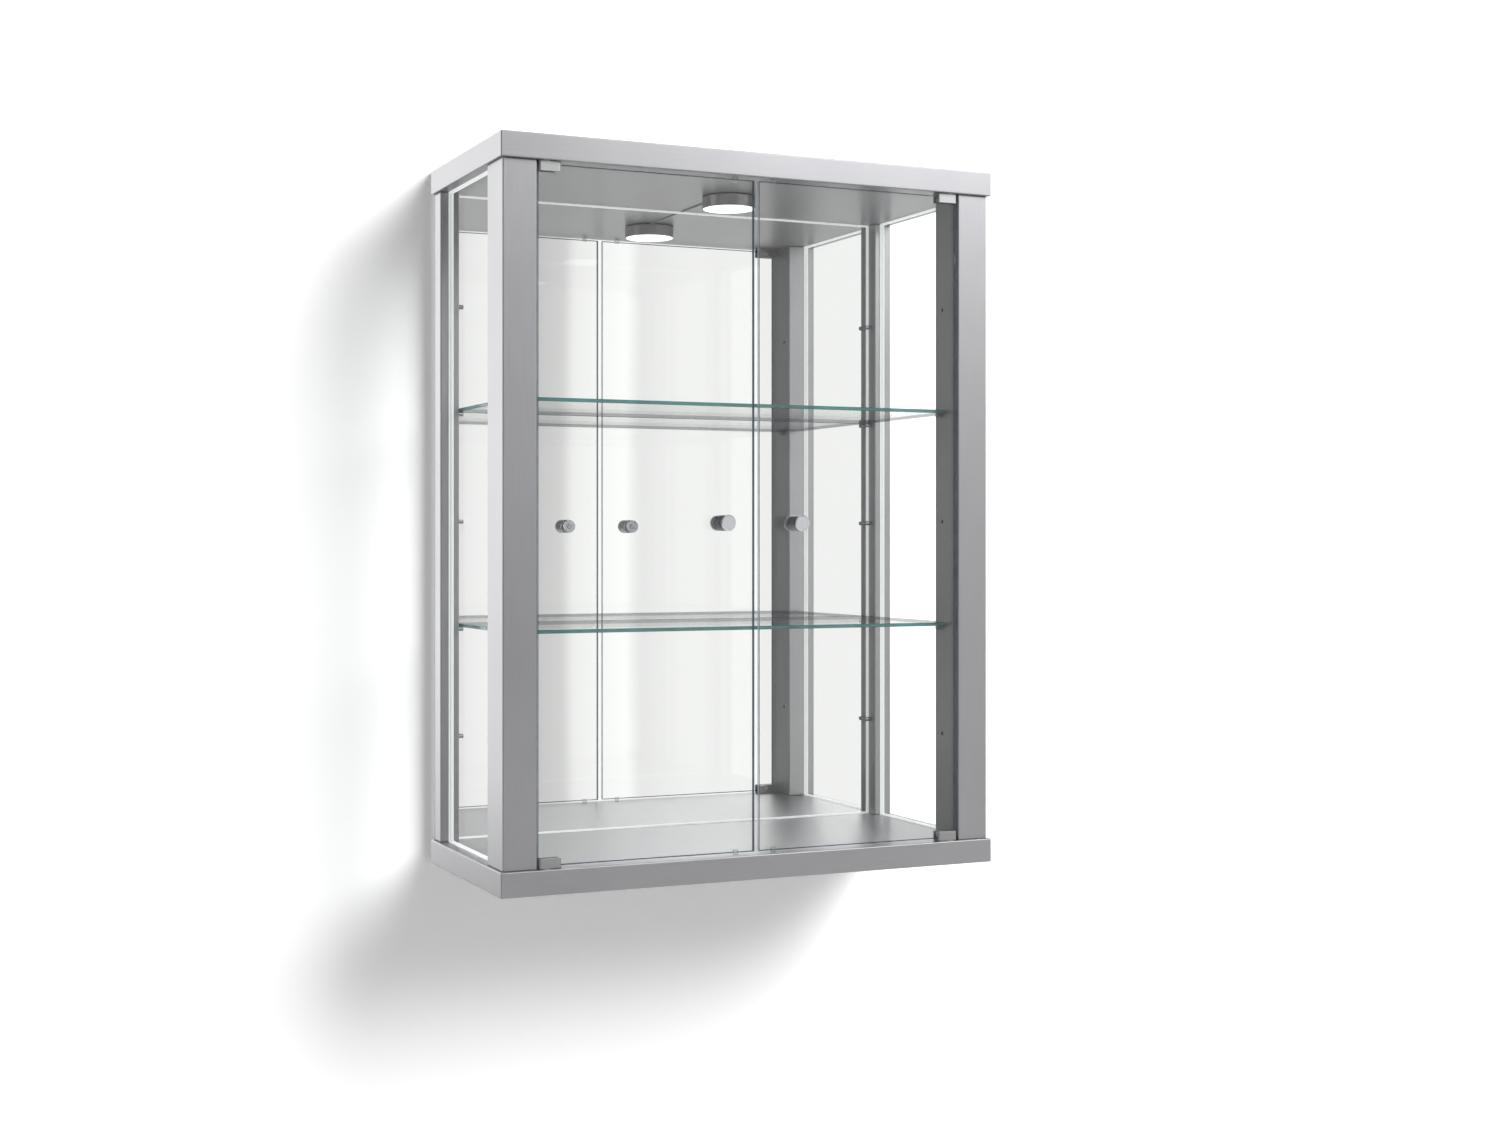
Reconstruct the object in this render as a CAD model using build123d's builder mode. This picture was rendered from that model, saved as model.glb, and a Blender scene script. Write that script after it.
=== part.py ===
from build123d import *
import os

# A wall-hung glass showcase with two frameless glass doors. Millimetres.
# The origin is on the wall, midway between the two hanging plates in the top board.
# +X runs to the viewer's right, +Y into the wall and +Z up.

# ---- Overall size
width = 600.0
depth = 250.0
height = 800.0
board = 27.0

# ---- Posts
post_set_in = 3.5
post_set_back = 5.0
front_post_width = 38.0
front_post_depth = 50.0
rear_post_width = 22.5
rear_post_depth = 22.0
edge_round = 1.2

# ---- Glass, mirror and back panel
side_glass = 4.0
side_glass_set_in = 12.5
side_glass_in_groove = 7.0
side_seal_wall = 0.7
side_seal_lip = 1.6
mirror_thick = 4.0
mirror_in_groove = 7.0
mirror_bead_size = 2.0
back_panel_thick = 4.0
polish = 0.4

# ---- Cross recesses in the screw heads, as shares of the head's radius
recess_length = 1.2
recess_width = 0.3
recess_depth = 0.5

# ---- Shelves and their pins
shelf_thick = 4.0
shelf_gap = 1.5
shelf_set_back = 30.0
shelf_corner = 1.5
pin_radius = 2.5
pin_half = 8.0
pin_pitch = 124.0
pin_levels = (-2, -1, 0, 1, 2)
lower_shelf_level = -1
upper_shelf_level = 1
pin_middle_above_floor = 368.0
front_pin_set_back = 35.0

# ---- Doors
door_thick = 5.0
door_set_back = 7.0
door_side_gap = 2.0
door_centre_gap = 3.0
door_end_gap = 3.0
pivot_from_edge = 9.0
clamp_width = 25.5
clamp_height = 10.5
clamp_board_gap = 0.5
clamp_front_wall = 2.0
clamp_rear_wall = 3.5
clamp_corner = 2.5
front_pad = 0.5
rear_pad = 1.0
pad_height = 6.0
pivot_radius = 2.5
pivot_clearance = 0.05
pivot_length = 12.0
bush_radius = 4.0
bush_depth = 11.5
bush_flange_radius = 6.0
bush_flange = 0.4
bush_floor = 1.5
grub_radius = 2.0
grub_from_pivot = 4.0
grub_key_radius = 1.1
grub_key_depth = 2.1
stop_width = 6.0
stop_thick = 3.0
stop_height = 5.5
stop_gap = 0.1
stop_from_door_end = 20.0

# ---- Knobs
knob_radius = 8.75
knob_length = 22.0
knob_from_centre = 45.0
knob_above_floor = 365.0
knob_hole_radius = 3.0
knob_screw_radius = 2.0
knob_screw_in_knob = 9.0
knob_screw_head = 1.8
knob_screw_head_radius = 3.4
knob_screw_end_gap = 1.0
knob_front_chamfer = 1.0
knob_plate_radius = 8.25
knob_plate_thick = 2.4
washer_thick = 0.8
washer_radius = 6.5

# ---- Lamp
lamp_radius = 31.0
lamp_height = 14.5
lamp_wall = 1.2
lamp_ring_gap = 1.3
lamp_ring_set_in = 0.7
lamp_base_thick = 3.0
lamp_lens_step = 0.6
lamp_right_of_centre = 22.0
lamp_screw_spacing = 36.0
led_board_radius = 25.0
led_board_thick = 1.6
led_size = 3.0
led_height = 0.9
led_count = 12
led_circle_radius = 17.0
lens_plate = 2.0
lead_radius = 0.8
lead_left_of_lamp = 10.0
lead_bend_radius = 3.0
lead_exit_from_wall = 12.5

# ---- Hanging plates
hanger_spacing = 440.0
hanger_length = 52.0
hanger_height = 20.0
hanger_thick = 2.0
hanger_hole_radius = 4.5
hanger_pocket_width = 22.0
hanger_pocket_height = 18.0
hanger_pocket_depth = 16.0
hanger_screw_spacing = 38.0

# ---- Wood joints
front_dowel_radius = 4.0
rear_dowel_radius = 3.0
dowel_half = 14.0
post_screw_radius = 2.5
post_screw_head = 4.6
post_screw_length = 52.0
front_dowels_from_front = (12.0, 34.0)
front_screw_from_front = 23.0
rear_dowel_from_outside = 5.0
rear_dowel_from_front = 5.0
rear_screw_from_outside = 8.5
rear_screw_from_back = 8.0
dowel_chamfer = 1.0
back_screw_rows = 4
back_screw_length = 15.0
small_screw_radius = 1.5
small_screw_head = 3.2
small_screw_length = 16.0

# ---- Places worked out from the sizes above
roof = board / 2
ceiling = roof - board
base = roof - height
floor = base + board
clear_height = ceiling - floor

front = -depth
post_outer = width / 2 - post_set_in
front_post_front = front + post_set_back
front_post_back = front_post_front + front_post_depth
front_post_inner = post_outer - front_post_width
rear_post_back = -back_panel_thick
rear_post_front = rear_post_back - rear_post_depth
rear_post_inner = post_outer - rear_post_width
rear_post_middle = (rear_post_inner + post_outer) / 2

side_glass_x = post_outer - side_glass_set_in
side_seal_thick = side_glass + 2 * side_seal_wall
side_groove = side_glass_in_groove + side_seal_wall

mirror_front = rear_post_back - mirror_thick
mirror_half = rear_post_inner + mirror_in_groove

shelf_half = rear_post_inner - shelf_gap
shelf_front = front + shelf_set_back
shelf_back = mirror_front - mirror_bead_size - shelf_gap
pin_middle = floor + pin_middle_above_floor
front_pin_y = front_post_front + front_pin_set_back
rear_pin_y = (rear_post_front + rear_post_back) / 2

door_front = front + door_set_back
door_back = door_front + door_thick
door_y = (door_front + door_back) / 2
door_outer = front_post_inner - door_side_gap
door_inner = door_centre_gap
door_bottom = floor + door_end_gap
door_top = ceiling - door_end_gap
pivot_x = door_outer - pivot_from_edge
knob_z = floor + knob_above_floor

stop_x = door_inner + stop_from_door_end
stop_y = door_back + stop_gap + stop_thick / 2

clamp_front = door_front - front_pad - clamp_front_wall
clamp_back = door_back + rear_pad + clamp_rear_wall
clamp_inner = door_outer - clamp_width
grub_x = pivot_x - grub_from_pivot

lamp_y = front + depth / 2
lamp_centre = (lamp_right_of_centre, lamp_y)
lead_x = lamp_right_of_centre - lead_left_of_lamp

left = -1
right = 1
lower = -1
upper = 1
side_name = {left: "left", right: "right"}
level_name = {lower: "lower", upper: "upper"}
board_face = {lower: floor, upper: ceiling}
board_outside = {lower: base, upper: roof}

front_post_middle = (front_post_inner + post_outer) / 2
front_dowels = [(front_post_middle, front_post_front + step) for step in front_dowels_from_front]
front_screw = (front_post_middle, front_post_front + front_screw_from_front)
rear_dowel = (post_outer - rear_dowel_from_outside, rear_post_front + rear_dowel_from_front)
rear_screw = (post_outer - rear_screw_from_outside, rear_post_back - rear_screw_from_back)


def block(x_limits, y_limits, z_limits, mode=Mode.ADD):
    """Add or cut a box, given by its two limits along each axis, in the part being built."""
    with BuildSketch(Plane.XY.offset(z_limits[0])) as outline:
        with Locations((sum(x_limits) / 2, sum(y_limits) / 2)):
            Rectangle(abs(x_limits[1] - x_limits[0]), y_limits[1] - y_limits[0])
    extrude(outline.sketch, amount=z_limits[1] - z_limits[0], mode=mode)


def both_sides(points):
    """The same plan points on the right and, mirrored, on the left."""
    return [(side * x, y) for side in (left, right) for x, y in points]


def end_plane(x, y, level):
    """The plane on the outside of the top or bottom board at a plan point, facing out."""
    return Plane(origin=(x, y, board_outside[level]), z_dir=(0, 0, level))


def countersunk_screw(face, head_radius, shank_radius, length):
    """A countersunk screw with its head flush in the plane and its shank behind it."""
    with BuildPart() as screw:
        with BuildSketch(Plane(origin=face.origin, x_dir=face.x_dir, z_dir=face.y_dir)):
            with BuildLine():
                Polyline(
                    (0, 0),
                    (head_radius, 0),
                    (shank_radius, head_radius - shank_radius),
                    (shank_radius, length - shank_radius),
                    (0, length),
                    close=True,
                )
            make_face()
        revolve(axis=Axis(face.origin, face.z_dir))
        with BuildSketch(face):
            for turn in (0, 90):
                SlotOverall(head_radius * recess_length, head_radius * recess_width, rotation=turn)
        extrude(amount=-head_radius * recess_depth, mode=Mode.SUBTRACT)
    return screw.part


os.makedirs("parts", exist_ok=True)

# ---- The lamp's lead, along the ceiling to the back and up through the top board
with BuildPart() as lamp_lead:
    with BuildLine():
        route = FilletPolyline(
            (lead_x, lamp_y, ceiling - lead_radius),
            (lead_x, -lead_exit_from_wall, ceiling - lead_radius),
            (lead_x, -lead_exit_from_wall, roof),
            radius=lead_bend_radius,
        )
    with BuildSketch(Plane(origin=route @ 0, z_dir=route % 0)):
        Circle(lead_radius)
    sweep()
lamp_lead.part.label = "lamp_lead"
export_step(lamp_lead.part, "parts/lamp_lead.step")

# ---- Top and bottom boards
post_screw_planes = {
    level: [end_plane(x, y, level) for x, y in both_sides([front_screw, rear_screw])]
    for level in (lower, upper)
}
hanger_planes = [
    Plane(origin=(side * hanger_spacing / 2, 0, 0), x_dir=(1, 0, 0), z_dir=(0, 1, 0))
    for side in (left, right)
]
hanger_screw_planes = [
    Plane(origin=plane.origin + (side * hanger_screw_spacing / 2, 0, 0), x_dir=(1, 0, 0), z_dir=(0, 1, 0))
    for plane in hanger_planes
    for side in (left, right)
]

back_screw_planes = {
    side: [
        Plane(origin=(side * rear_post_middle, 0, z), x_dir=(1, 0, 0), z_dir=(0, 1, 0))
        for z in [floor + clear_height * (row + 0.5) / back_screw_rows for row in range(back_screw_rows)]
    ]
    for side in (left, right)
}


def plain_board(level):
    """A board with what both share: grooves, joint holes and the pivot bush sockets."""
    face = board_face[level]
    into_board = level * side_groove
    with BuildPart() as plain:
        with BuildSketch(Plane.XY.offset(face)):
            with Locations((0, front / 2)):
                Rectangle(width, depth)
        extrude(amount=level * board)
        fillet(plain.edges(), edge_round)
        with BuildSketch(Plane.XY.offset(face)):
            with Locations(*both_sides([(side_glass_x, (front_post_back + rear_post_front) / 2)])):
                Rectangle(side_seal_thick, rear_post_front - front_post_back + 2 * side_groove)
            with Locations((0, mirror_front + mirror_thick / 2)):
                Rectangle(2 * mirror_half, mirror_thick)
        extrude(amount=into_board, mode=Mode.SUBTRACT)
        with BuildSketch(Plane.XY.offset(face)):
            with Locations(*both_sides(front_dowels)):
                Circle(front_dowel_radius)
            with Locations(*both_sides([rear_dowel])):
                Circle(rear_dowel_radius)
        extrude(amount=level * dowel_half, mode=Mode.SUBTRACT)
        with BuildSketch(Plane.XY.offset(face)):
            with Locations(*both_sides([(pivot_x, door_y)])):
                Circle(bush_radius)
        extrude(amount=level * bush_depth, mode=Mode.SUBTRACT)
        with Locations(*post_screw_planes[level]):
            CounterSinkHole(post_screw_radius, post_screw_head, board, counter_sink_angle=90)
    return plain.part


with BuildPart() as bottom_board:
    add(plain_board(lower))
bottom_board.part.label = "bottom_board"
export_step(bottom_board.part, "parts/bottom_board.step")

with BuildPart() as top_board:
    add(plain_board(upper))
    for plane in hanger_planes:
        with BuildSketch(plane):
            SlotOverall(hanger_length, hanger_height)
        extrude(amount=-hanger_thick, mode=Mode.SUBTRACT)
        with BuildSketch(plane):
            RectangleRounded(hanger_pocket_width, hanger_pocket_height, hanger_pocket_height / 3)
        extrude(amount=-hanger_pocket_depth, mode=Mode.SUBTRACT)
    with Locations(*hanger_screw_planes):
        Hole(small_screw_radius, small_screw_length)
    with BuildSketch(Plane.XY.offset(ceiling)):
        with Locations(lamp_centre):
            with GridLocations(lamp_screw_spacing, 0, 2, 1):
                Circle(small_screw_radius)
    extrude(amount=small_screw_length - lamp_base_thick, mode=Mode.SUBTRACT)
    add(lamp_lead.part, mode=Mode.SUBTRACT)
top_board.part.label = "top_board"
export_step(top_board.part, "parts/top_board.step")

# ---- Posts
for side in (left, right):
    with BuildPart() as front_post:
        block(
            (side * front_post_inner, side * post_outer),
            (front_post_front, front_post_back),
            (floor, ceiling),
        )
        fillet(front_post.edges(), edge_round)
        block(
            (side * (side_glass_x - side_seal_thick / 2), side * (side_glass_x + side_seal_thick / 2)),
            (front_post_back - side_groove, front_post_back),
            (floor, ceiling),
            mode=Mode.SUBTRACT,
        )
        for level in (lower, upper):
            with BuildSketch(Plane.XY.offset(board_face[level])):
                with Locations(*[(side * x, y) for x, y in front_dowels]):
                    Circle(front_dowel_radius)
            extrude(amount=-level * dowel_half, mode=Mode.SUBTRACT)
            with BuildSketch(Plane.XY.offset(board_face[level])):
                with Locations((side * front_screw[0], front_screw[1])):
                    Circle(post_screw_radius)
            extrude(amount=-level * (post_screw_length - board), mode=Mode.SUBTRACT)
        with BuildSketch(Plane.YZ.offset(side * front_post_inner)):
            with Locations(*[(front_pin_y, pin_middle + pin_pitch * step) for step in pin_levels]):
                Circle(pin_radius)
        extrude(amount=side * pin_half, mode=Mode.SUBTRACT)
    front_post.part.label = f"front_post_{side_name[side]}"
    export_step(front_post.part, f"parts/front_post_{side_name[side]}.step")

    with BuildPart() as rear_post:
        block(
            (side * rear_post_inner, side * post_outer),
            (rear_post_front, rear_post_back),
            (floor, ceiling),
        )
        fillet(rear_post.edges(), edge_round)
        block(
            (side * (side_glass_x - side_seal_thick / 2), side * (side_glass_x + side_seal_thick / 2)),
            (rear_post_front, rear_post_front + side_groove),
            (floor, ceiling),
            mode=Mode.SUBTRACT,
        )
        block(
            (side * rear_post_inner, side * mirror_half),
            (mirror_front, rear_post_back),
            (floor, ceiling),
            mode=Mode.SUBTRACT,
        )
        for level in (lower, upper):
            with BuildSketch(Plane.XY.offset(board_face[level])):
                with Locations((side * rear_dowel[0], rear_dowel[1])):
                    Circle(rear_dowel_radius)
            extrude(amount=-level * dowel_half, mode=Mode.SUBTRACT)
            with BuildSketch(Plane.XY.offset(board_face[level])):
                with Locations((side * rear_screw[0], rear_screw[1])):
                    Circle(post_screw_radius)
            extrude(amount=-level * (post_screw_length - board), mode=Mode.SUBTRACT)
        with BuildSketch(Plane.YZ.offset(side * rear_post_inner)):
            with Locations(*[(rear_pin_y, pin_middle + pin_pitch * step) for step in pin_levels]):
                Circle(pin_radius)
        extrude(amount=side * pin_half, mode=Mode.SUBTRACT)
        with Locations(*back_screw_planes[side]):
            Hole(small_screw_radius, back_screw_length)
    rear_post.part.label = f"rear_post_{side_name[side]}"
    export_step(rear_post.part, f"parts/rear_post_{side_name[side]}.step")

# ---- Dowels and screws that hold the posts to the boards
dowels = []
for level in (lower, upper):
    for radius, spots in ((front_dowel_radius, front_dowels), (rear_dowel_radius, [rear_dowel])):
        with BuildPart() as dowel_set:
            with Locations(*[(x, y, board_face[level]) for x, y in both_sides(spots)]):
                Cylinder(radius, 2 * dowel_half)
            chamfer(dowel_set.edges().filter_by(GeomType.CIRCLE), dowel_chamfer)
        dowels += dowel_set.part.solids()
with BuildPart() as post_dowels:
    add(dowels)
post_dowels.part.label = "post_dowels"
export_step(post_dowels.part, "parts/post_dowels.step")

with BuildPart() as post_screws:
    for level in (lower, upper):
        for plane in post_screw_planes[level]:
            add(countersunk_screw(plane, post_screw_head, post_screw_radius, post_screw_length))
post_screws.part.label = "post_screws"
export_step(post_screws.part, "parts/post_screws.step")

# ---- Back panel, mirror and the bright bead round the mirror
with BuildPart() as back_panel:
    block((-post_outer, post_outer), (-back_panel_thick, 0), (floor, ceiling))
    with Locations(*back_screw_planes[left], *back_screw_planes[right]):
        CounterSinkHole(small_screw_radius, small_screw_head, back_panel_thick, counter_sink_angle=90)
back_panel.part.label = "back_panel"
export_step(back_panel.part, "parts/back_panel.step")

with BuildPart() as back_panel_screws:
    for plane in back_screw_planes[left] + back_screw_planes[right]:
        add(countersunk_screw(plane, small_screw_head, small_screw_radius, back_screw_length))
back_panel_screws.part.label = "back_panel_screws"
export_step(back_panel_screws.part, "parts/back_panel_screws.step")

with BuildPart() as mirror:
    block(
        (-mirror_half, mirror_half),
        (mirror_front, mirror_front + mirror_thick),
        (floor - mirror_in_groove, ceiling + mirror_in_groove),
    )
    chamfer(mirror.edges().filter_by(Axis.X), polish)
mirror.part.label = "mirror"
export_step(mirror.part, "parts/mirror.step")

with BuildPart() as mirror_bead:
    block(
        (-rear_post_inner, rear_post_inner),
        (mirror_front - mirror_bead_size, mirror_front),
        (floor, ceiling),
    )
    block(
        (-(rear_post_inner - mirror_bead_size), rear_post_inner - mirror_bead_size),
        (mirror_front - mirror_bead_size, mirror_front),
        (floor + mirror_bead_size, ceiling - mirror_bead_size),
        mode=Mode.SUBTRACT,
    )
    bead_front = mirror_bead.faces().sort_by(Axis.Y)[0]
    fillet(bead_front.inner_wires()[0].edges(), mirror_bead_size / 4)
mirror_bead.part.label = "mirror_bead"
export_step(mirror_bead.part, "parts/mirror_bead.step")

# ---- Side glass in its clear channel seal
glass_y = (front_post_back - side_glass_in_groove, rear_post_front + side_glass_in_groove)
glass_z = (floor - side_glass_in_groove, ceiling + side_glass_in_groove)
seal_y = (front_post_back - side_groove, rear_post_front + side_groove)
seal_z = (floor - side_groove, ceiling + side_groove)
for side in (left, right):
    glass_x = (side * (side_glass_x - side_glass / 2), side * (side_glass_x + side_glass / 2))
    seal_x = (side * (side_glass_x - side_seal_thick / 2), side * (side_glass_x + side_seal_thick / 2))
    with BuildPart() as side_pane:
        block(glass_x, glass_y, glass_z)
    side_pane.part.label = f"side_glass_{side_name[side]}"
    export_step(side_pane.part, f"parts/side_glass_{side_name[side]}.step")

    with BuildPart() as side_seal:
        block(seal_x, seal_y, seal_z)
        block(
            seal_x,
            (front_post_back + side_seal_lip, rear_post_front - side_seal_lip),
            (floor + side_seal_lip, ceiling - side_seal_lip),
            mode=Mode.SUBTRACT,
        )
        block(glass_x, glass_y, glass_z, mode=Mode.SUBTRACT)
    side_seal.part.label = f"side_seal_{side_name[side]}"
    export_step(side_seal.part, f"parts/side_seal_{side_name[side]}.step")

# ---- Shelves, each on four pins, and the pins of the levels not in use
for name, level in (("lower", lower_shelf_level), ("upper", upper_shelf_level)):
    shelf_bottom = pin_middle + pin_pitch * level + pin_radius
    shelf_limits = (shelf_bottom, shelf_bottom + shelf_thick)
    with BuildPart() as shelf:
        block((-shelf_half, shelf_half), (shelf_front, shelf_back), shelf_limits)
        for side in (left, right):
            block(
                (side * (front_post_inner - shelf_gap), side * shelf_half),
                (shelf_front, front_post_back + shelf_gap),
                shelf_limits,
                mode=Mode.SUBTRACT,
            )
        fillet(shelf.edges().filter_by(Axis.Z), shelf_corner)
        chamfer(shelf.edges().group_by(Axis.Z)[-1] + shelf.edges().group_by(Axis.Z)[0], polish)
    shelf.part.label = f"{name}_shelf"
    export_step(shelf.part, f"parts/{name}_shelf.step")


def shelf_pins(spots):
    """Plain steel pins at (post face, y, level) spots, half in the post and half out."""
    with BuildPart() as pins:
        for inner_face, y, level in spots:
            for side in (left, right):
                with BuildSketch(Plane.YZ.offset(side * inner_face)):
                    with Locations((y, pin_middle + pin_pitch * level)):
                        Circle(pin_radius)
                extrude(amount=pin_half, both=True)
        chamfer(pins.edges().filter_by(GeomType.CIRCLE), polish)
    return pins.part


for name, level in (("lower", lower_shelf_level), ("upper", upper_shelf_level)):
    with BuildPart() as level_pins:
        add(shelf_pins([(front_post_inner, front_pin_y, level), (rear_post_inner, rear_pin_y, level)]))
    level_pins.part.label = f"{name}_shelf_pins"
    export_step(level_pins.part, f"parts/{name}_shelf_pins.step")

unused_levels = [level for level in pin_levels if level not in (lower_shelf_level, upper_shelf_level)]
with BuildPart() as spare_shelf_pins:
    add(shelf_pins([(rear_post_inner, rear_pin_y, level) for level in unused_levels]))
spare_shelf_pins.part.label = "spare_shelf_pins"
export_step(spare_shelf_pins.part, "parts/spare_shelf_pins.step")

# ---- Lamp under the top board
lamp_screw_planes = [
    Plane(origin=(lamp_right_of_centre + side * lamp_screw_spacing / 2, lamp_y, ceiling - lamp_base_thick),
          x_dir=(1, 0, 0), z_dir=(0, 0, -1))
    for side in (left, right)
]
with BuildPart() as lamp_base:
    with BuildSketch(Plane.XY.offset(ceiling)):
        with Locations(lamp_centre):
            Circle(lamp_radius - lamp_ring_set_in)
    extrude(amount=-lamp_ring_gap)
    with BuildSketch(Plane.XY.offset(ceiling - lamp_ring_gap)):
        with Locations(lamp_centre):
            Circle(lamp_radius - lamp_wall)
    extrude(amount=lamp_ring_gap - lamp_base_thick)
    with Locations(*lamp_screw_planes):
        CounterSinkHole(small_screw_radius, small_screw_head, lamp_base_thick, counter_sink_angle=90)
    add(lamp_lead.part, mode=Mode.SUBTRACT)
lamp_base.part.label = "lamp_base"
export_step(lamp_base.part, "parts/lamp_base.step")

with BuildPart() as lamp_screws:
    for plane in lamp_screw_planes:
        add(countersunk_screw(plane, small_screw_head, small_screw_radius, small_screw_length))
lamp_screws.part.label = "lamp_screws"
export_step(lamp_screws.part, "parts/lamp_screws.step")

with BuildPart() as lamp_housing:
    with BuildSketch(Plane.XY.offset(ceiling - lamp_ring_gap)):
        with Locations(lamp_centre):
            Circle(lamp_radius)
            Circle(lamp_radius - lamp_wall, mode=Mode.SUBTRACT)
    extrude(amount=lamp_ring_gap - lamp_height)
    outer_rims = lamp_housing.edges().filter_by(GeomType.CIRCLE).group_by(SortBy.RADIUS)[-1]
    fillet(outer_rims, lamp_wall / 3)
    add(lamp_lead.part, mode=Mode.SUBTRACT)
lamp_housing.part.label = "lamp_housing"
export_step(lamp_housing.part, "parts/lamp_housing.step")

with BuildPart() as lamp_led_board:
    with BuildSketch(Plane.XY.offset(ceiling - lamp_base_thick)):
        with Locations(lamp_centre):
            Circle(led_board_radius)
    extrude(amount=-led_board_thick)
    with BuildSketch(Plane.XY.offset(ceiling - lamp_base_thick - led_board_thick)):
        with Locations(lamp_centre):
            with PolarLocations(led_circle_radius, led_count):
                Rectangle(led_size, led_size)
    extrude(amount=-led_height)
lamp_led_board.part.label = "lamp_led_board"
export_step(lamp_led_board.part, "parts/lamp_led_board.step")

with BuildPart() as lamp_lens:
    with BuildSketch(Plane.XY.offset(ceiling - lamp_height)):
        with Locations(lamp_centre):
            Circle(lamp_radius - lamp_wall)
    extrude(amount=lens_plate)
    chamfer(lamp_lens.edges().group_by(Axis.Z)[0], lamp_lens_step)
lamp_lens.part.label = "lamp_lens"
export_step(lamp_lens.part, "parts/lamp_lens.step")

# ---- Hanging plates, let into the rear edge of the top board
for side, plane in zip((left, right), hanger_planes):
    with BuildPart() as hanger_plate:
        with BuildSketch(plane):
            SlotOverall(hanger_length, hanger_height)
            Circle(hanger_hole_radius, mode=Mode.SUBTRACT)
        extrude(amount=-hanger_thick)
        with Locations(*[spot for spot in hanger_screw_planes if spot.origin.X * side > 0]):
            CounterSinkHole(small_screw_radius, small_screw_head, hanger_thick, counter_sink_angle=90)
    hanger_plate.part.label = f"hanger_plate_{side_name[side]}"
    export_step(hanger_plate.part, f"parts/hanger_plate_{side_name[side]}.step")

with BuildPart() as hanger_screws:
    for plane in hanger_screw_planes:
        add(countersunk_screw(plane, small_screw_head, small_screw_radius, small_screw_length))
hanger_screws.part.label = "hanger_screws"
export_step(hanger_screws.part, "parts/hanger_screws.step")

# ---- Clear stops behind the doors' meeting edges
with BuildPart() as door_stops:
    for level in (lower, upper):
        with BuildSketch(Plane.XY.offset(board_face[level])):
            with Locations(*both_sides([(stop_x, stop_y)])):
                RectangleRounded(stop_width, stop_thick, stop_thick / 3)
        extrude(amount=-level * stop_height)
door_stops.part.label = "door_stops"
export_step(door_stops.part, "parts/door_stops.step")

# ---- Pivot bushes in the boards
for side in (left, right):
    for level in (lower, upper):
        with BuildPart() as pivot_bush:
            with BuildSketch(Plane.XY.offset(board_face[level])):
                with Locations((side * pivot_x, door_y)):
                    Circle(bush_flange_radius)
            extrude(amount=-level * bush_flange)
            with BuildSketch(Plane.XY.offset(board_face[level])):
                with Locations((side * pivot_x, door_y)):
                    Circle(bush_radius)
            extrude(amount=level * bush_depth)
            with BuildSketch(Plane.XY.offset(board_face[level] - level * bush_flange)):
                with Locations((side * pivot_x, door_y)):
                    Circle(pivot_radius + pivot_clearance)
            extrude(amount=level * (bush_depth + bush_flange - bush_floor), mode=Mode.SUBTRACT)
        name = f"{side_name[side]}_{level_name[level]}_pivot_bush"
        pivot_bush.part.label = name
        export_step(pivot_bush.part, f"parts/{name}.step")

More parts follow.
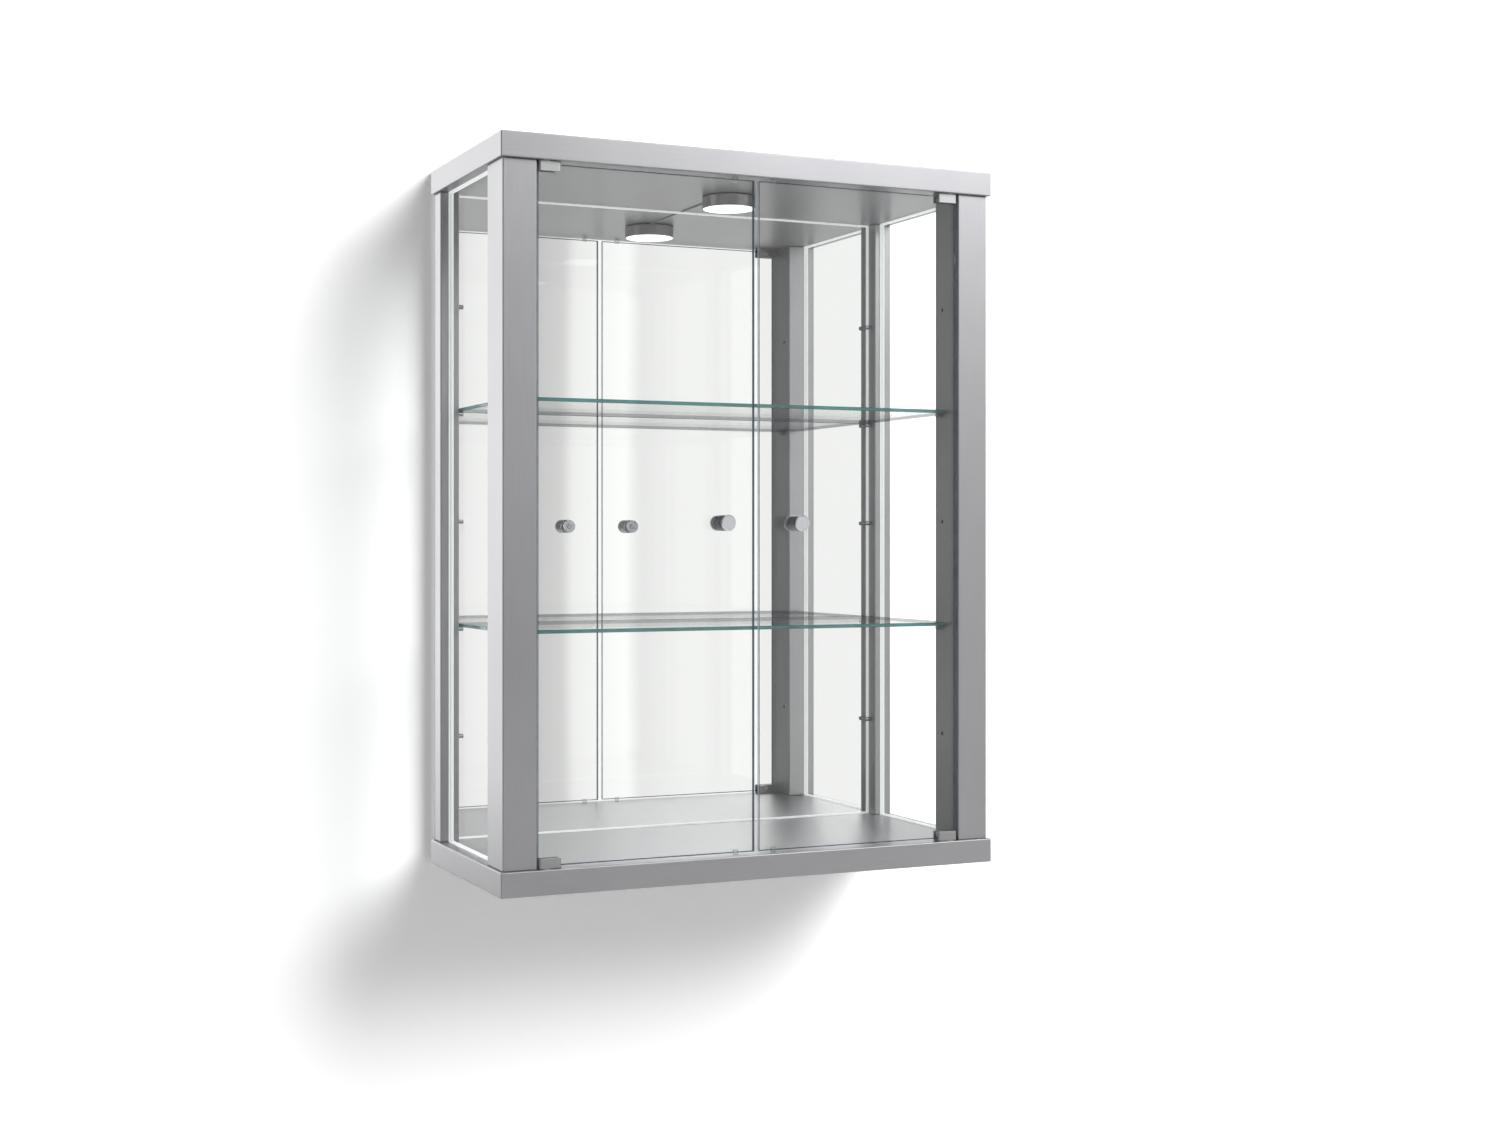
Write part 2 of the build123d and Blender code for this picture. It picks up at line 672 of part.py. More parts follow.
# ---- Doors
for side in (left, right):
    door = f"{side_name[side]}_door"
    with BuildPart() as door_glass:
        block((side * door_inner, side * door_outer), (door_front, door_back), (door_bottom, door_top))
        chamfer(door_glass.edges(), polish)
        with BuildSketch(Plane.XZ.offset(-door_back)):
            with Locations((side * knob_from_centre, knob_z)):
                Circle(knob_hole_radius)
        extrude(amount=door_thick, mode=Mode.SUBTRACT)
    door_glass.part.label = f"{door}_glass"
    export_step(door_glass.part, f"parts/{door}_glass.step")

    pads = []
    grubs = []
    for level in (lower, upper):
        inward = -level
        outside = board_face[level] + inward * clamp_board_gap
        glass_end = board_face[level] + inward * door_end_gap
        inside = outside + inward * clamp_height
        limits = sorted((outside, inside))
        slot = sorted((glass_end, inside))
        grub_plane = Plane(
            origin=(side * grub_x, clamp_back, (glass_end + inside) / 2), x_dir=(1, 0, 0), z_dir=(0, 1, 0)
        )
        with BuildPart() as clamp:
            block((side * clamp_inner, side * door_outer), (clamp_front, clamp_back), limits)
            fillet(clamp.edges().filter_by(Axis.Z), clamp_corner)
            fillet(clamp.edges().filter_by(Plane.XY).group_by(Axis.Z)[0 if inward < 0 else -1], polish)
            block(
                (side * clamp_inner, side * door_outer),
                (door_front - front_pad, door_back + rear_pad),
                slot,
                mode=Mode.SUBTRACT,
            )
            with BuildSketch(Plane.XY.offset(outside)):
                with Locations((side * pivot_x, door_y)):
                    Circle(pivot_radius)
            extrude(amount=inward * (door_end_gap - clamp_board_gap), mode=Mode.SUBTRACT)
            with BuildSketch(grub_plane):
                Circle(grub_radius)
            extrude(amount=-clamp_rear_wall, mode=Mode.SUBTRACT)
        clamp.part.label = f"{door}_{level_name[level]}_clamp"
        export_step(clamp.part, f"parts/{door}_{level_name[level]}_clamp.step")

        with BuildPart() as pivot_pin:
            with BuildSketch(Plane.XY.offset(glass_end)):
                with Locations((side * pivot_x, door_y)):
                    Circle(pivot_radius)
            extrude(amount=-inward * pivot_length)
            chamfer(pivot_pin.edges().filter_by(GeomType.CIRCLE), polish)
        pivot_pin.part.label = f"{door}_{level_name[level]}_pivot_pin"
        export_step(pivot_pin.part, f"parts/{door}_{level_name[level]}_pivot_pin.step")

        with BuildPart() as grub:
            with BuildSketch(grub_plane):
                Circle(grub_radius)
            extrude(amount=-clamp_rear_wall)
            with BuildSketch(grub_plane):
                RegularPolygon(grub_key_radius, 6)
            extrude(amount=-grub_key_depth, mode=Mode.SUBTRACT)
        grubs += grub.part.solids()

        with BuildPart() as pad_pair:
            pad_z = sorted((glass_end, glass_end + inward * pad_height))
            pad_x = (side * (clamp_inner + clamp_corner), side * (door_outer - clamp_corner))
            block(pad_x, (door_front - front_pad, door_front), pad_z)
            block(pad_x, (door_back, door_back + rear_pad), pad_z)
        pads += pad_pair.part.solids()

    with BuildPart() as grub_screws:
        add(grubs)
    grub_screws.part.label = f"{door}_grub_screws"
    export_step(grub_screws.part, f"parts/{door}_grub_screws.step")

    with BuildPart() as clamp_pads:
        add(pads)
    clamp_pads.part.label = f"{door}_clamp_pads"
    export_step(clamp_pads.part, f"parts/{door}_clamp_pads.step")

    knob_back = door_front - washer_thick
    with BuildPart() as knob:
        with BuildSketch(Plane.XZ.offset(-knob_back)):
            with Locations((side * knob_from_centre, knob_z)):
                Circle(knob_radius)
        extrude(amount=knob_length)
        chamfer(knob.edges().group_by(Axis.Y)[0], knob_front_chamfer)
        chamfer(knob.edges().group_by(Axis.Y)[-1], polish)
        with BuildSketch(Plane.XZ.offset(-knob_back)):
            with Locations((side * knob_from_centre, knob_z)):
                Circle(knob_screw_radius)
        extrude(amount=knob_screw_in_knob, mode=Mode.SUBTRACT)
    knob.part.label = f"{door}_knob"
    export_step(knob.part, f"parts/{door}_knob.step")

    with BuildPart() as knob_washers:
        for face in (knob_back, door_back):
            with BuildSketch(Plane.XZ.offset(-face - washer_thick)):
                with Locations((side * knob_from_centre, knob_z)):
                    Circle(washer_radius)
                    Circle(knob_screw_radius, mode=Mode.SUBTRACT)
            extrude(amount=washer_thick)
    knob_washers.part.label = f"{door}_knob_washers"
    export_step(knob_washers.part, f"parts/{door}_knob_washers.step")

    plate_back = door_back + washer_thick + knob_plate_thick
    with BuildPart() as knob_plate:
        with BuildSketch(Plane.XZ.offset(-plate_back)):
            with Locations((side * knob_from_centre, knob_z)):
                Circle(knob_plate_radius)
        extrude(amount=knob_plate_thick)
        chamfer(knob_plate.edges(), polish)
        with BuildSketch(Plane.XZ.offset(-plate_back)):
            with Locations((side * knob_from_centre, knob_z)):
                Circle(knob_screw_radius)
        extrude(amount=knob_plate_thick, mode=Mode.SUBTRACT)
    knob_plate.part.label = f"{door}_knob_plate"
    export_step(knob_plate.part, f"parts/{door}_knob_plate.step")

    with BuildPart() as knob_screw:
        with BuildSketch(Plane.XZ.offset(-plate_back)):
            with Locations((side * knob_from_centre, knob_z)):
                Circle(knob_screw_radius)
        extrude(amount=plate_back - knob_back + knob_screw_in_knob - knob_screw_end_gap)
        with BuildSketch(Plane.XZ.offset(-plate_back)):
            with Locations((side * knob_from_centre, knob_z)):
                Circle(knob_screw_head_radius)
        extrude(amount=-knob_screw_head)
        fillet(knob_screw.edges().group_by(Axis.Y)[-1], knob_screw_head / 3)
        with BuildSketch(Plane.XZ.offset(-plate_back - knob_screw_head)):
            with Locations((side * knob_from_centre, knob_z)):
                for turn in (0, 90):
                    SlotOverall(
                        knob_screw_head_radius * recess_length,
                        knob_screw_head_radius * recess_width,
                        rotation=turn,
                    )
        extrude(amount=knob_screw_head / 2, mode=Mode.SUBTRACT)
    knob_screw.part.label = f"{door}_knob_screw"
    export_step(knob_screw.part, f"parts/{door}_knob_screw.step")
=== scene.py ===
import math

import bpy
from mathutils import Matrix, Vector


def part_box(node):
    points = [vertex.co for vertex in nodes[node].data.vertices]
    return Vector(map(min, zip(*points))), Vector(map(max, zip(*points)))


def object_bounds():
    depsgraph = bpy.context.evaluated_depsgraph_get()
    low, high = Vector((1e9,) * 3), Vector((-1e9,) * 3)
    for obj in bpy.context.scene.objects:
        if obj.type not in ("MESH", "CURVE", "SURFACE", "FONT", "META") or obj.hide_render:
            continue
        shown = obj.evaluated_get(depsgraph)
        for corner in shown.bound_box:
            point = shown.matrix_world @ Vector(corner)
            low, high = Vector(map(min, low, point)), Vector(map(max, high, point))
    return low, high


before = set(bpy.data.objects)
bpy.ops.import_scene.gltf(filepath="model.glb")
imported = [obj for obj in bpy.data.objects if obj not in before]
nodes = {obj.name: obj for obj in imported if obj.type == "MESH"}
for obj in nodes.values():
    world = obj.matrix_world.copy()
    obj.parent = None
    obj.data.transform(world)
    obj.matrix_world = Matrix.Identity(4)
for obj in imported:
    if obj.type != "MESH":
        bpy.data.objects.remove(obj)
cad_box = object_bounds()
SIDES = ("left", "right")

# ---- Places read from the frame, in metres
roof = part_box("top_board")[1].z
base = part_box("bottom_board")[0].z
lens_low, lens_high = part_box("lamp_lens")
lens_centre = (lens_low + lens_high) / 2

# ---- Numbers that several materials share
NOISE_BAND = (0.3, 0.7)  # nearly all values of a noise texture lie in here
NOISE_CORE = (0.35, 0.65)  # cut closer, for more contrast
FACES_AXIS = 0.9  # share of an axis in the normal of a face that looks along it
SCHLICK_POWER = 5  # how steeply the mirror share of glass rises toward a grazing view


# ---------------------------------------------------------------- shader helpers
def material(name):
    """A new material with an empty node tree, and its tree."""
    mat = bpy.data.materials.new(name)
    mat.use_nodes = True
    mat.node_tree.nodes.clear()
    return mat, mat.node_tree


def node(tree, kind, **values):
    """Adds a node. Values are its properties, or its input sockets where no property has that
    name."""
    made = tree.nodes.new(kind)
    for key, value in values.items():
        if hasattr(made, key):
            setattr(made, key, value)
        else:
            made.inputs[key].default_value = value
    return made


def feed(tree, value, socket):
    """Links another node's output to a socket, or sets the socket to a plain value."""
    if isinstance(value, bpy.types.NodeSocket):
        tree.links.new(value, socket)
    else:
        socket.default_value = value


def output(tree, shader):
    tree.links.new(shader, node(tree, "ShaderNodeOutputMaterial").inputs["Surface"])


def principled(tree, color, metallic, roughness):
    """A Principled shader that is also linked to the output."""
    shader = node(tree, "ShaderNodeBsdfPrincipled", Metallic=metallic, Roughness=roughness)
    shader.inputs["Base Color"].default_value = (*color, 1)
    output(tree, shader.outputs[0])
    return shader


def object_point(tree, scale=(1, 1, 1)):
    """The point on the object, stretched by scale. It moves with its body."""
    coord = node(tree, "ShaderNodeTexCoord")
    stretch = node(tree, "ShaderNodeMapping", Scale=scale)
    tree.links.new(coord.outputs["Object"], stretch.inputs["Vector"])
    return stretch.outputs[0]


def facing(tree, axis):
    """How much the surface looks along one axis of the object, either way, from 0 to 1."""
    coord = node(tree, "ShaderNodeTexCoord")
    split = node(tree, "ShaderNodeSeparateXYZ")
    tree.links.new(coord.outputs["Normal"], split.inputs[0])
    return math_node(tree, "ABSOLUTE", split.outputs[axis])


def noise(tree, point, scale, detail):
    made = node(tree, "ShaderNodeTexNoise", Scale=scale, Detail=detail, Roughness=0.55)
    tree.links.new(point, made.inputs["Vector"])
    return made.outputs[0]


def streaks(tree, axis, along, across, detail=3):
    """Noise drawn out along one axis, with its scale along that axis and across it."""
    scale = [along if name == axis else across for name in "XYZ"]
    return noise(tree, object_point(tree, scale), scale=1.0, detail=detail)


def ramp(tree, value, low, high, start, end, interpolation="LINEAR"):
    """value mapped from start..end to low..high and held there."""
    made = node(tree, "ShaderNodeMapRange", clamp=True, interpolation_type=interpolation)
    for key, number in (("From Min", start), ("From Max", end), ("To Min", low), ("To Max", high)):
        made.inputs[key].default_value = number
    tree.links.new(value, made.inputs["Value"])
    return made.outputs[0]


def math_node(tree, operation, *values):
    made = node(tree, "ShaderNodeMath", operation=operation)
    for socket, value in zip(made.inputs, values):
        feed(tree, value, socket)
    return made.outputs[0]


def tint_between(tree, factor, dark, light):
    mix = node(tree, "ShaderNodeMix", data_type="RGBA")
    tree.links.new(factor, mix.inputs[0])
    for socket, color in ((mix.inputs[6], dark), (mix.inputs[7], light)):
        feed(tree, color if isinstance(color, bpy.types.NodeSocket) else (*color, 1), socket)
    return mix.outputs[2]


def shader_mix(tree, factor, first, second):
    mix = node(tree, "ShaderNodeMixShader")
    feed(tree, factor, mix.inputs[0])
    tree.links.new(first, mix.inputs[1])
    tree.links.new(second, mix.inputs[2])
    return mix.outputs[0]


def see_through_shader(tree, color=(1, 1, 1, 1)):
    return node(tree, "ShaderNodeBsdfTransparent", Color=color).outputs[0]


def bump(tree, shader, height, strength, distance):
    made = node(tree, "ShaderNodeBump", Strength=strength, Distance=distance)
    tree.links.new(height, made.inputs["Height"])
    tree.links.new(made.outputs[0], shader.inputs["Normal"])


def vary_color(tree, shader, texture, dark, light):
    """Lets the base colour follow a texture from dark to light."""
    color = tint_between(tree, ramp(tree, texture, 0, 1, *NOISE_BAND), dark, light)
    tree.links.new(color, shader.inputs["Base Color"])


def vary_roughness(tree, shader, texture, least, most, band=NOISE_BAND):
    """Lets the roughness follow a texture from least to most."""
    tree.links.new(ramp(tree, texture, least, most, *band), shader.inputs["Roughness"])


# ---------------------------------------------------------------- materials
def silver_foil(name, axis):
    """Satin silver foil: a faint grain along one axis, and a slow cloud in its tone."""
    mat, tree = material(name)
    shader = principled(tree, (0.34, 0.34, 0.35), metallic=0.72, roughness=0.33)
    fine, drawn_out = 1400, 90
    grain = streaks(tree, axis, along=fine / drawn_out, across=fine)
    cloud = noise(tree, object_point(tree), scale=7.0, detail=2)
    halves = [math_node(tree, "MULTIPLY", texture, 0.5) for texture in (grain, cloud)]
    shade = math_node(tree, "ADD", *halves)
    vary_color(tree, shader, shade, (0.314, 0.315, 0.331), (0.366, 0.366, 0.376))
    vary_roughness(tree, shader, grain, least=0.31, most=0.39)
    bump(tree, shader, grain, strength=0.03, distance=0.00002)
    return mat


def pane_glass(name, axis, edge_color, painted_edge_highlight, shine_range=(0.035, 0.6)):
    """A clear pane whose two faces look along one axis. They let light pass straight through, and
    mirror a share that grows in shine_range toward a grazing view. The rim round them is polished
    edge in two painted tones: where it is seen from outside it has the light
    painted_edge_highlight, a painted highlight, and in its bevels and where it is seen through the
    pane it has the deeper edge_color, the glass's own dark edge tint with painted shade."""
    mat, tree = material(name)
    along_pane = facing(tree, axis)
    is_face = math_node(tree, "GREATER_THAN", along_pane, FACES_AXIS)
    bevel_lean = 0.1
    is_bevel = math_node(tree, "GREATER_THAN", along_pane, bevel_lean)

    clear = see_through_shader(tree, (0.991, 0.995, 0.992, 1))
    shine = node(tree, "ShaderNodeBsdfGlossy", Roughness=0.0)
    weight = node(tree, "ShaderNodeLayerWeight", Blend=0.5)
    grazing = math_node(tree, "POWER", weight.outputs["Facing"], SCHLICK_POWER)
    shine_share = ramp(tree, grazing, *shine_range, start=0.0, end=1.0)
    face = shader_mix(tree, shine_share, clear, shine.outputs[0])

    streak = noise(tree, object_point(tree), scale=60.0, detail=3)
    shade = ramp(tree, streak, 0.75, 1.0, *NOISE_CORE)
    # Painted light on the rim: a light copy where it faces the view from outside, and a darker copy
    # with painted shade in the bevels and from behind.
    shaded_deep_edge = edge_shader(tree, edge_color, shade, see_through=0.15)
    painted_glow = edge_shader(tree, painted_edge_highlight, shade, see_through=0.4)
    side = node(tree, "ShaderNodeNewGeometry")
    is_shaded_deep = math_node(tree, "MAXIMUM", is_bevel, side.outputs["Backfacing"])
    edge = shader_mix(tree, is_shaded_deep, painted_glow, shaded_deep_edge)
    output(tree, shader_mix(tree, is_face, edge, face))
    return mat


def edge_shader(tree, color, shade, see_through):
    """Polished glass edge of one colour: part body, part see-through."""
    body = node(tree, "ShaderNodeBsdfPrincipled", Roughness=0.08)
    tree.links.new(tint_between(tree, shade, (0, 0, 0), color), body.inputs["Base Color"])
    return shader_mix(tree, see_through, body.outputs[0], see_through_shader(tree, (*color, 1)))


def mirror_glass():
    """Silvered float glass with the faint wave that bends far reflections."""
    mat, tree = material("silvered_mirror")
    shader = principled(tree, (0.955, 0.955, 0.95), metallic=1.0, roughness=0.012)
    wave = noise(tree, object_point(tree), scale=3.0, detail=1)
    bump(tree, shader, wave, strength=0.02, distance=0.0002)
    return mat


def clear_plastic(name, color, roughness, painted_glow=0.0, see_through=0.0):
    """Translucent plastic. glow is painted light: the plastic shines by itself, standing in for
    light piped from elsewhere. see_through is the share that passes straight."""
    mat, tree = material(name)
    shader = node(tree, "ShaderNodeBsdfPrincipled", Roughness=roughness)
    shader.inputs["Base Color"].default_value = (*color, 1)
    shader.inputs["Coat Weight"].default_value = 0.4
    shader.inputs["Coat Roughness"].default_value = 0.08
    # Painted light: the plastic glows by itself, though nothing lights it from within.
    shader.inputs["Emission Color"].default_value = (*color, 1)
    shader.inputs["Emission Strength"].default_value = painted_glow
    haze = node(tree, "ShaderNodeBsdfTranslucent", Color=(*color, 1))
    cloud = noise(tree, object_point(tree), scale=120.0, detail=3)
    vary_roughness(tree, shader, cloud, roughness * 0.8, roughness * 1.3, NOISE_CORE)
    bump(tree, shader, cloud, strength=0.1, distance=0.0001)
    haze_share = 0.35
    body = shader_mix(tree, haze_share, shader.outputs[0], haze.outputs[0])
    if see_through:
        body = shader_mix(tree, see_through, body, see_through_shader(tree))
    output(tree, body)
    return mat


def turned_metal(name, color, roughness, centre, axis, shaded_side_color=None, highlight_rim_color=None):
    """Satin metal turned on a lathe: fine rings round an axis through centre. Where they are
    given, the side takes shaded_side_color, painted shade, and the chamfer between side and end
    takes highlight_rim_color, a painted highlight."""
    mat, tree = material(name)
    shader = principled(tree, color, metallic=1.0, roughness=roughness)
    # Painted shade on the side and a painted highlight on the chamfer, picked by which way the
    # normal looks.
    if shaded_side_color:
        toward_end = facing(tree, axis)
        chamfer_lean = 0.2
        off_side = math_node(tree, "GREATER_THAN", toward_end, chamfer_lean)
        on_end = math_node(tree, "GREATER_THAN", toward_end, FACES_AXIS)
        painted_side_and_rim = tint_between(tree, off_side, shaded_side_color, highlight_rim_color)
        tree.links.new(tint_between(tree, on_end, painted_side_and_rim, color), shader.inputs["Base Color"])

    shift = node(tree, "ShaderNodeVectorMath", operation="SUBTRACT")
    coord = node(tree, "ShaderNodeTexCoord")
    tree.links.new(coord.outputs["Object"], shift.inputs[0])
    shift.inputs[1].default_value = centre
    split = node(tree, "ShaderNodeSeparateXYZ")
    tree.links.new(shift.outputs[0], split.inputs[0])
    across = [split.outputs[name] for name in "XYZ" if name != axis]
    squares = [math_node(tree, "MULTIPLY", value, value) for value in across]
    radius = math_node(tree, "SQRT", math_node(tree, "ADD", *squares))
    rings_per_metre = 2600.0
    rings = node(tree, "ShaderNodeCombineXYZ")
    for value, socket in zip((radius, split.outputs[axis]), rings.inputs):
        tree.links.new(math_node(tree, "MULTIPLY", value, rings_per_metre), socket)
    grooves = noise(tree, rings.outputs[0], scale=1.0, detail=2)
    vary_roughness(tree, shader, grooves, roughness * 0.75, roughness * 1.35)
    bump(tree, shader, grooves, strength=0.15, distance=0.00003)
    return mat


def brushed_metal(name, color, roughness, axis):
    """Satin metal with brush lines along one axis."""
    mat, tree = material(name)
    shader = principled(tree, color, metallic=1.0, roughness=roughness)
    lines = streaks(tree, axis, along=40, across=2400)
    vary_roughness(tree, shader, lines, roughness * 0.75, roughness * 1.4)
    bump(tree, shader, lines, strength=0.18, distance=0.00003)
    return mat


def plated_steel(name, color, roughness):
    """Plated steel hardware with the slight mottle of zinc or nickel."""
    mat, tree = material(name)
    shader = principled(tree, color, metallic=1.0, roughness=roughness)
    cloud = noise(tree, object_point(tree), scale=500.0, detail=4)
    dull = 0.82
    vary_color(tree, shader, cloud, [part * dull for part in color], color)
    vary_roughness(tree, shader, cloud, roughness * 0.8, roughness * 1.3)
    return mat


def moulded(name, color, roughness):
    """Moulded plastic or rubber with a fine even texture."""
    mat, tree = material(name)
    shader = principled(tree, color, metallic=0.0, roughness=roughness)
    texture = noise(tree, object_point(tree), scale=900.0, detail=2)
    vary_roughness(tree, shader, texture, roughness * 0.9, roughness * 1.1)
    bump(tree, shader, texture, strength=0.12, distance=0.00006)
    return mat


def hardboard():
    """Thin pale grey painted hardboard with a faint fibre texture."""
    mat, tree = material("painted_hardboard")
    shader = principled(tree, (0.55, 0.55, 0.54), metallic=0.0, roughness=0.62)
    fibre = noise(tree, object_point(tree, (260, 260, 260)), scale=1.0, detail=6)
    vary_color(tree, shader, fibre, (0.50, 0.50, 0.49), (0.60, 0.60, 0.59))
    bump(tree, shader, fibre, strength=0.2, distance=0.0002)
    return mat


def lit_lens():
    """The lamp's frosted lens, lit evenly from behind."""
    mat, tree = material("lit_lens")
    shader = principled(tree, (0.95, 0.95, 0.93), metallic=0.0, roughness=0.35)
    shader.inputs["Emission Color"].default_value = (1.0, 0.985, 0.96, 1)
    shader.inputs["Emission Strength"].default_value = 1.3
    frost = noise(tree, object_point(tree), scale=2200.0, detail=2)
    bump(tree, shader, frost, strength=0.1, distance=0.00005)
    return mat


def beech():
    """Plain beech with its grain along the upright dowels."""
    mat, tree = material("beech_dowel")
    shader = principled(tree, (0.62, 0.42, 0.24), metallic=0.0, roughness=0.55)
    grain = streaks(tree, "Z", along=60, across=900, detail=4)
    vary_color(tree, shader, grain, (0.52, 0.33, 0.18), (0.68, 0.47, 0.28))
    return mat


def paint(mat, *names):
    """Gives CAD nodes a material, in every slot they have."""
    for name in names:
        data = nodes[name].data
        if not data.materials:
            data.materials.append(mat)
        for index in range(len(data.materials)):
            data.materials[index] = mat


def both(*patterns):
    """Node names for the left and the right of each pattern."""
    return [pattern.format(side) for pattern in patterns for side in SIDES]


paint(silver_foil("silver_foil_board", "X"), "top_board", "bottom_board")
paint(silver_foil("silver_foil_post", "Z"), *both("front_post_{}", "rear_post_{}"))
# Each pane rim gets a light painted highlight tone, and a darker tone that is edge tint with
# painted shade.
paint(pane_glass("door_glass", "Y", edge_color=(0.10, 0.14, 0.19), painted_edge_highlight=(0.72, 0.80, 0.84)),
      *both("{}_door_glass"))
paint(pane_glass("side_glass", "X", edge_color=(0.10, 0.16, 0.18), painted_edge_highlight=(0.70, 0.82, 0.82),
                 shine_range=(0.02, 0.08)), *both("side_glass_{}"))
paint(pane_glass("shelf_glass", "Z", edge_color=(0.02, 0.07, 0.07), painted_edge_highlight=(0.07, 0.27, 0.25)),
      "upper_shelf", "lower_shelf")
paint(mirror_glass(), "mirror")
# The seals and the mirror bead shine with painted light, so that they come out as crisp white
# lines.
paint(clear_plastic("clear_seal", (0.90, 0.91, 0.91), roughness=0.2, painted_glow=0.5),
      *both("side_seal_{}"), "mirror_bead")
paint(clear_plastic("clear_stop", (0.80, 0.82, 0.82), roughness=0.3, see_through=0.7), "door_stops")
paint(hardboard(), "back_panel")
paint(lit_lens(), "lamp_lens")
paint(beech(), "post_dowels")
paint(turned_metal("lamp_steel", (0.46, 0.46, 0.47), 0.16, lens_centre, "Z"), "lamp_housing")
# The base ring is near black: partly its own dark plastic, partly painted shade for the dark line
# between lamp and board.
paint(moulded("lamp_black", (0.012, 0.012, 0.014), 0.55), "lamp_base")
paint(moulded("lamp_board", (0.80, 0.80, 0.78), 0.5), "lamp_led_board")
paint(moulded("lead_sheath", (0.36, 0.36, 0.37), 0.4), "lamp_lead")
paint(moulded("grey_nylon", (0.56, 0.57, 0.58), 0.42),
      *both("{}_lower_pivot_bush", "{}_upper_pivot_bush"))
paint(moulded("soft_pad", (0.50, 0.52, 0.52), 0.55),
      *both("{}_door_clamp_pads", "{}_door_knob_washers"))
paint(plated_steel("pin_steel", (0.30, 0.31, 0.33), 0.34),
      "upper_shelf_pins", "lower_shelf_pins", "spare_shelf_pins")
paint(plated_steel("zinc_steel", (0.62, 0.63, 0.64), 0.3),
      "post_screws", "back_panel_screws", "hanger_screws", "lamp_screws",
      *both("hanger_plate_{}", "{}_door_knob_screw", "{}_door_grub_screws",
            "{}_door_lower_pivot_pin", "{}_door_upper_pivot_pin"))
paint(brushed_metal("clamp_metal", (0.34, 0.345, 0.345), 0.42, "X"),
      *both("{}_door_lower_clamp", "{}_door_upper_clamp"))
for side in SIDES:
    low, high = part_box(f"{side}_door_knob")
    # The knob's dark side is painted shade and its light chamfer ring a painted highlight.
    turned = turned_metal(f"{side}_knob_metal", (0.55, 0.57, 0.60), 0.24, (low + high) / 2, "Y",
                          shaded_side_color=(0.20, 0.21, 0.23), highlight_rim_color=(0.85, 0.86, 0.88))
    paint(turned, f"{side}_door_knob", f"{side}_door_knob_plate")


# ---------------------------------------------------------------- studio
def stage_plane(name, corners, mat):
    mesh = bpy.data.meshes.new(name)
    mesh.from_pydata(corners, [], [tuple(range(len(corners)))])
    plane = bpy.data.objects.new(name, mesh)
    bpy.context.scene.collection.objects.link(plane)
    mesh.materials.append(mat)
    return plane


def matt_shader(tree, color):
    return node(tree, "ShaderNodeBsdfDiffuse", Roughness=0.6, Color=(*color, 1)).outputs[0]


def floor_paint():
    """Matt pale paint."""
    mat, tree = material("floor_paint")
    output(tree, matt_shader(tree, (0.86, 0.86, 0.85)))
    return mat


def lit_backdrop():
    """A pale paper sheet lit partly from behind. Only its front shows, so that the object's back
    can be seen."""
    mat, tree = material("backdrop_paper")
    light = node(tree, "ShaderNodeEmission", Strength=0.09)
    paper = node(tree, "ShaderNodeAddShader")
    tree.links.new(matt_shader(tree, (0.88, 0.88, 0.885)), paper.inputs[0])
    tree.links.new(light.outputs[0], paper.inputs[1])
    side = node(tree, "ShaderNodeNewGeometry")
    gone = see_through_shader(tree)
    output(tree, shader_mix(tree, side.outputs["Backfacing"], paper.outputs[0], gone))
    return mat


def area_light(name, place, target, size, power):
    data = bpy.data.lights.new(name, "AREA")
    data.shape = "RECTANGLE"
    data.size, data.size_y = size
    data.energy = power
    light = bpy.data.objects.new(name, data)
    light.location = place
    light.rotation_mode = "QUATERNION"
    light.rotation_quaternion = (Vector(target) - Vector(place)).to_track_quat("-Z", "Y")
    bpy.context.scene.collection.objects.link(light)
    return light


def sky_patch(tree, toward, start, end, strength):
    """Sky brightness that rises from 0 to strength as the direction turns to face toward. start
    and end are cosines of the angle between the two."""
    coord = node(tree, "ShaderNodeTexCoord")
    dot = node(tree, "ShaderNodeVectorMath", operation="DOT_PRODUCT")
    tree.links.new(coord.outputs["Generated"], dot.inputs[0])
    dot.inputs[1].default_value = Vector(toward).normalized()
    return ramp(tree, dot.outputs["Value"], 0.0, strength, start, end, interpolation="SMOOTHSTEP")


REACH = 7.0
FLOOR_BELOW = 1.15
WALL_GAP = 0.0015
floor_z = base - FLOOR_BELOW
wall_y = cad_box[1].y + WALL_GAP
wall = stage_plane(
    "backdrop",
    [(-REACH, wall_y, floor_z), (REACH, wall_y, floor_z),
     (REACH, wall_y, REACH), (-REACH, wall_y, REACH)],
    lit_backdrop(),
)
wall.visible_shadow = False
wall.visible_diffuse = False
wall.visible_glossy = False
stage_plane(
    "floor",
    [(-REACH, -REACH, floor_z), (REACH, -REACH, floor_z),
     (REACH, REACH, floor_z), (-REACH, REACH, floor_z)],
    floor_paint(),
)

middle = (cad_box[0] + cad_box[1]) / 2
roof_front = Vector((0, cad_box[0].y, roof))
upper_right = Vector((2.0, -2.6, 1.8))
area_light("top_softbox", Vector((-0.2, -1.0, 1.05)), roof_front, size=(1.0, 0.7), power=0.6)
area_light("main_softbox", upper_right, middle, size=(2.2, 2.2), power=98)
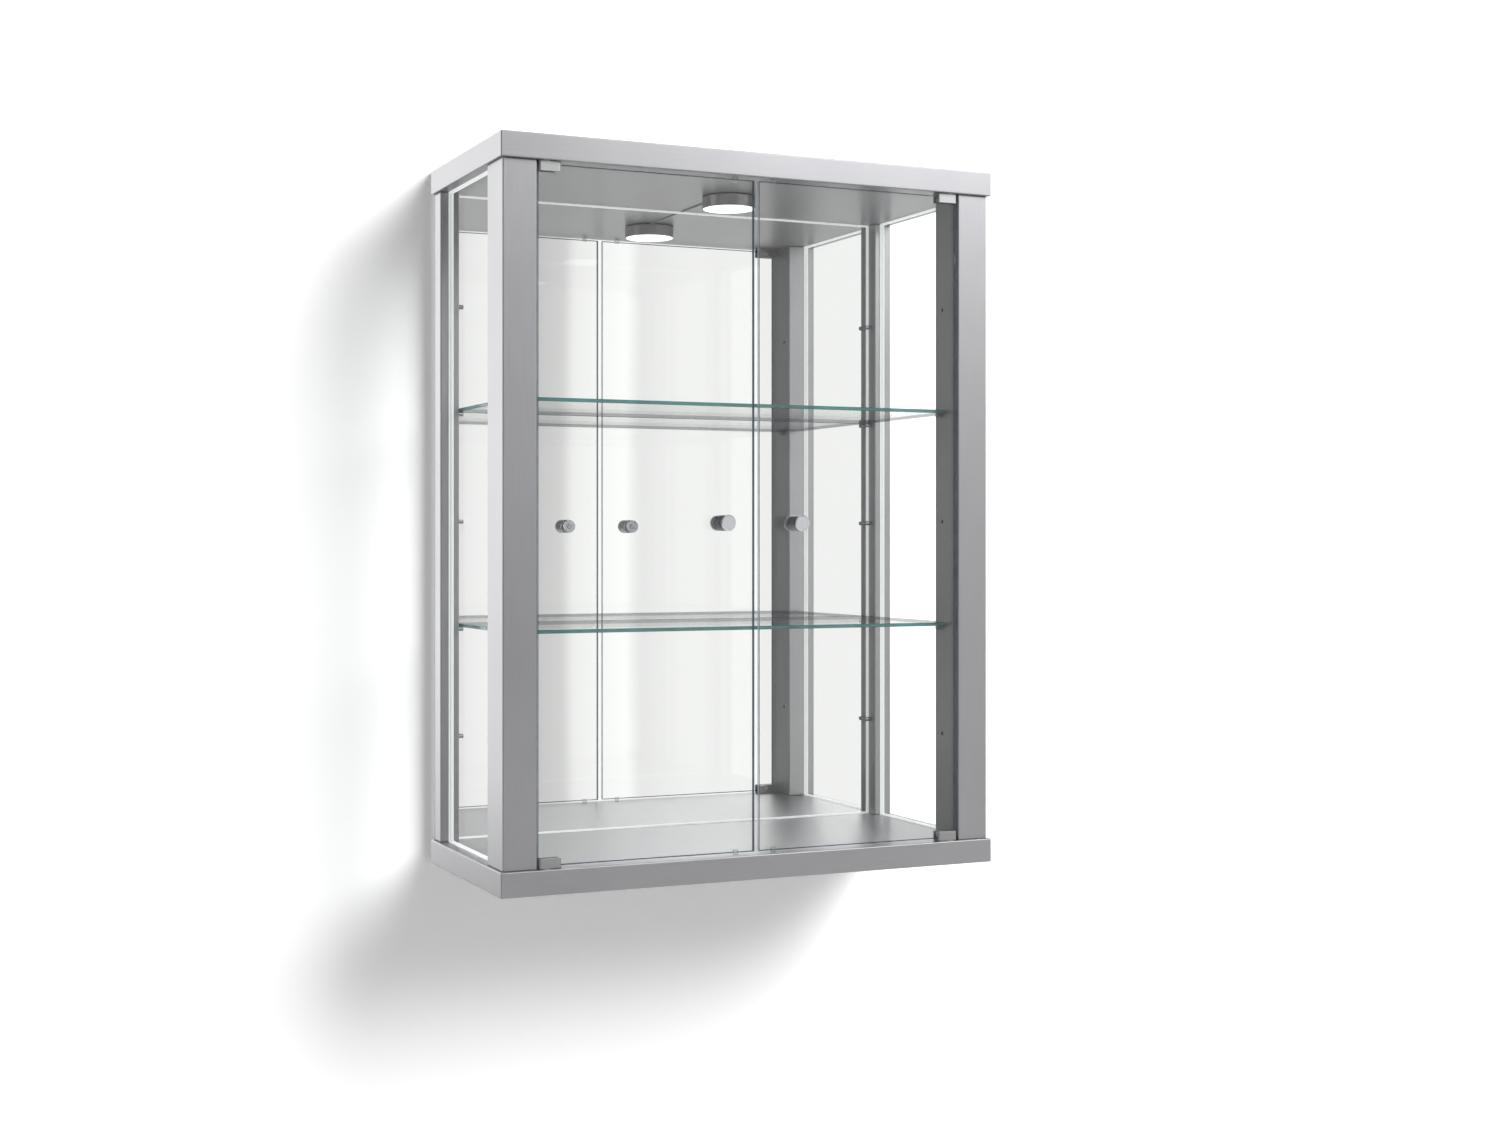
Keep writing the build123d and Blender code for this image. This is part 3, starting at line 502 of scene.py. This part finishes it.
# A second light at the main one's place shines on the wall alone, so that the wall comes out white.
wall_light = area_light("wall_softbox", upper_right, middle, size=(2.8, 2.8), power=275)
wall_only = bpy.data.collections.new("wall_only")
wall_only.objects.link(wall)
wall_light.light_linking.receiver_collection = wall_only
JUST_BELOW = 0.001
lamp = area_light("lamp_glow", (lens_centre.x, lens_centre.y, lens_low.z - JUST_BELOW),
                  lens_centre - Vector((0, 0, 1)), size=(0.05, 0.05), power=0.12)
lamp.data.shape = "DISK"
lamp.visible_camera = False
lamp.visible_glossy = False

# The sky stands for the room that the silver, the glass and the mirror reflect.
world = bpy.data.worlds.new("studio")
world.use_nodes = True
sky = world.node_tree
RIGHT = (0.978, 0.208, 0)
BASE_SKY = 0.24
right_side = sky_patch(sky, RIGHT, start=0.05, end=0.22, strength=1.0)
front_card = sky_patch(sky, (0.53, -0.85, 0), start=0.72, end=0.88, strength=0.76)
total = math_node(sky, "MULTIPLY", right_side, front_card)
for part in (
    # A narrow upright strip, switched on and off again.
    sky_patch(sky, RIGHT, start=0.149, end=0.157, strength=0.2),
    sky_patch(sky, RIGHT, start=0.181, end=0.190, strength=-0.2),
    # A brighter and wider strip beside it.
    sky_patch(sky, RIGHT, start=0.04, end=0.055, strength=0.45),
    sky_patch(sky, RIGHT, start=0.118, end=0.128, strength=-0.45),
    # Behind the wall, wide and to the left, and then a narrower patch in it.
    sky_patch(sky, (-0.55, 0.83, 0.1), start=0.1, end=0.85, strength=1.2),
    sky_patch(sky, (-0.36, 0.93, 0.06), start=0.90, end=0.995, strength=0.85),
    # Behind the wall, to the right.
    sky_patch(sky, (0.62, 0.77, -0.15), start=0.7, end=0.96, strength=0.9),
    BASE_SKY,
):
    total = math_node(sky, "ADD", total, part)
sky.links.new(total, sky.nodes["Background"].inputs["Strength"])
sky.nodes["Background"].inputs["Color"].default_value = (0.995, 0.993, 0.995, 1)
bpy.context.scene.world = world
bpy.context.scene.view_settings.view_transform = "Standard"

camera_data = bpy.data.cameras.new("camera")
camera_data.sensor_width = 36.0
camera_data.lens = 46.44
camera_data.shift_x = 0.066
camera_data.shift_y = -0.0135
camera = bpy.data.objects.new("camera", camera_data)
camera.location = (-0.952, -2.158, -0.4155)
camera.rotation_euler = (math.radians(90), 0, math.radians(-23.3))
bpy.context.scene.collection.objects.link(camera)
bpy.context.scene.camera = camera
